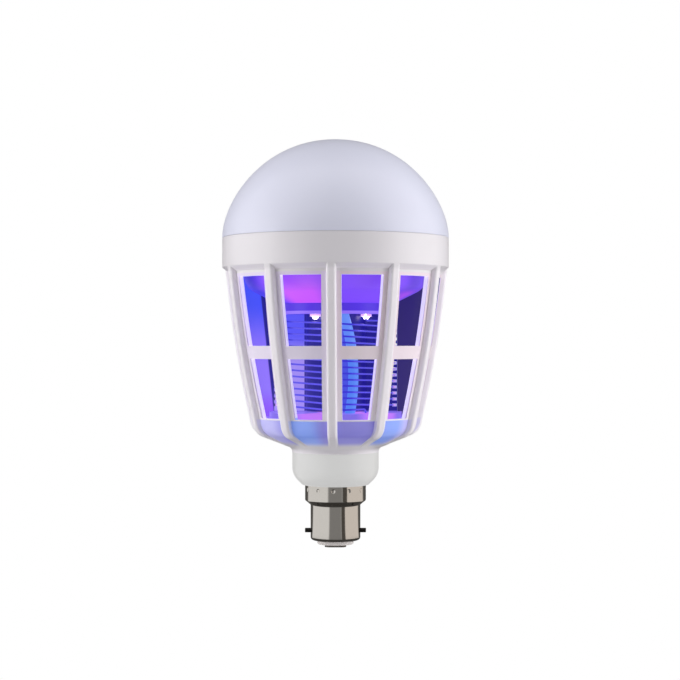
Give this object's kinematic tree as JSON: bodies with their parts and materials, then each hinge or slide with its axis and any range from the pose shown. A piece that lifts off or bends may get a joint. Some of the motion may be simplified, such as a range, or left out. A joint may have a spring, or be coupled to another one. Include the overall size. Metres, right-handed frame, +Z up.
{
  "type": "insect killer light bulb",
  "caption": "Bayonet lamp with a frosted dome over a ribbed, windowed cage that holds a live wire grid and ultraviolet LEDs.",
  "frame": {"origin": "centre of the cap's contact faces, on the lamp's axis", "axes": "+Z up along the lamp's axis from the cap to the dome; the bayonet pins lie along X; the pictured side faces -Y"},
  "size_m": [0.1, 0.1, 0.1794],
  "materials": {
    "dome": "opal white, satin",
    "housing": "warm white moulding, satin gloss",
    "neck": "white moulding, satin gloss",
    "cap": "nickel-plated, bright",
    "pin": "dull nickel",
    "insulator": "pale glass-like insulator",
    "contact": "tinned",
    "tray": "white tray in violet light",
    "former": "dark blue in ultraviolet light",
    "head_plate": "violet in ultraviolet light",
    "grid_wire": "bright steel wire",
    "uv_board": "white board in ultraviolet light",
    "uv_led": "lit ultraviolet lens",
    "sleeve": "white sleeve in blue light",
    "lead": "insulated wire",
    "board": "white solder mask",
    "led": "phosphor",
    "screw": "zinc",
    "circuit": "epoxy board",
    "component": "moulded component"
  },
  "bodies": {
    "root": {"diffuser_dome": "dome", "cage_housing": "housing", "neck_housing": "neck", "cap_shell": "cap", "cap_insulator": "insulator", "bayonet_pin_right": "pin", "bayonet_pin_left": "pin", "lighting_tray": "tray", "white_led_board": "board", "white_leds": "led", "tray_screws": "screw", "grid_floor": "former", "grid_former": "former", "former_head_plate": "head_plate", "uv_led_board": "uv_board", "uv_led_1": "uv_led", "uv_led_2": "uv_led", "uv_led_3": "uv_led", "uv_led_4": "uv_led", "lead_sleeve": "sleeve", "led_lead": "lead", "grid_wire_live": "grid_wire", "grid_wire_neutral": "grid_wire", "driver_board": "circuit", "transformer": "component", "electrolytic_capacitor": "component", "film_capacitor": "component", "multiplier_capacitors": "component", "contact_front": "contact", "contact_back": "contact", "contact_lead_front": "lead", "contact_lead_back": "lead"}
  },
  "joints": []
}
